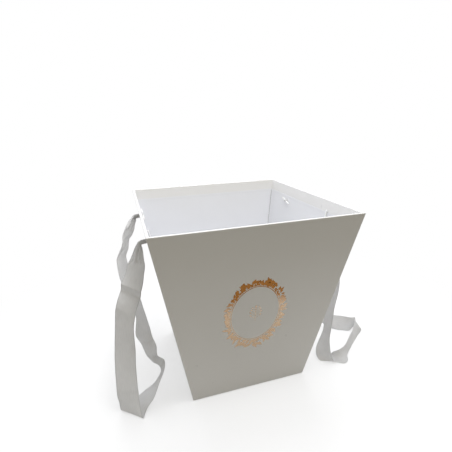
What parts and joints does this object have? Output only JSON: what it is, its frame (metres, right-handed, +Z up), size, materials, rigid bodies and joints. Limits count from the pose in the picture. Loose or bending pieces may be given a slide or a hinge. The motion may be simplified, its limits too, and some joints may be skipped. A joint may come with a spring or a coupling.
{
  "type": "flower box",
  "caption": "Rigid tapered paperboard flower box, open at the top, with a swinging ribbon loop handle on each side wall.",
  "frame": {"origin": "middle of the underside, on the surface that the box stands on", "axes": "+Z up, the printed front wall faces -Y, the handles are on the walls at -X and +X"},
  "size_m": [0.405, 0.25, 0.249],
  "materials": {
    "wrap_paper": "white paper laminated with a semi-gloss film",
    "liner_paper": "matte cool-white uncoated paper",
    "grey_board": "raw recycled grey board",
    "stay_tape": "gummed kraft paper tape",
    "satin_ribbon": "white double-faced satin with woven selvedges",
    "barb_plastic": "white moulded plastic",
    "copper_foil": "hot-stamped copper foil, mirror bright"
  },
  "bodies": {
    "box": {"front_board": "grey_board", "back_board": "grey_board", "left_board": "grey_board", "right_board": "grey_board", "base_board": "grey_board", "front_right_corner_tape": "stay_tape", "back_right_corner_tape": "stay_tape", "back_left_corner_tape": "stay_tape", "front_left_corner_tape": "stay_tape", "outer_wrap": "wrap_paper", "side_liner": "liner_paper", "base_liner": "liner_paper", "base_cover": "wrap_paper", "foil_wreath": "copper_foil", "foil_sprig": "copper_foil", "left_front_ribbon_end": "satin_ribbon", "left_back_ribbon_end": "satin_ribbon", "right_front_ribbon_end": "satin_ribbon", "right_back_ribbon_end": "satin_ribbon", "left_front_barb": "barb_plastic", "left_back_barb": "barb_plastic", "right_front_barb": "barb_plastic", "right_back_barb": "barb_plastic"},
    "left_handle": {"left_ribbon": "satin_ribbon"},
    "right_handle": {"right_ribbon": "satin_ribbon"}
  },
  "joints": [
    {"name": "left_handle_swing", "type": "hinge", "parent": "box", "child": "left_handle", "pos_m": [-0.12891, 0, 0.2217], "axis": [0, 1, 0], "range_deg": [0, 135]},
    {"name": "right_handle_swing", "type": "hinge", "parent": "box", "child": "right_handle", "pos_m": [0.12891, 0, 0.2217], "axis": [0, -1, 0], "range_deg": [0, 135]}
  ]
}
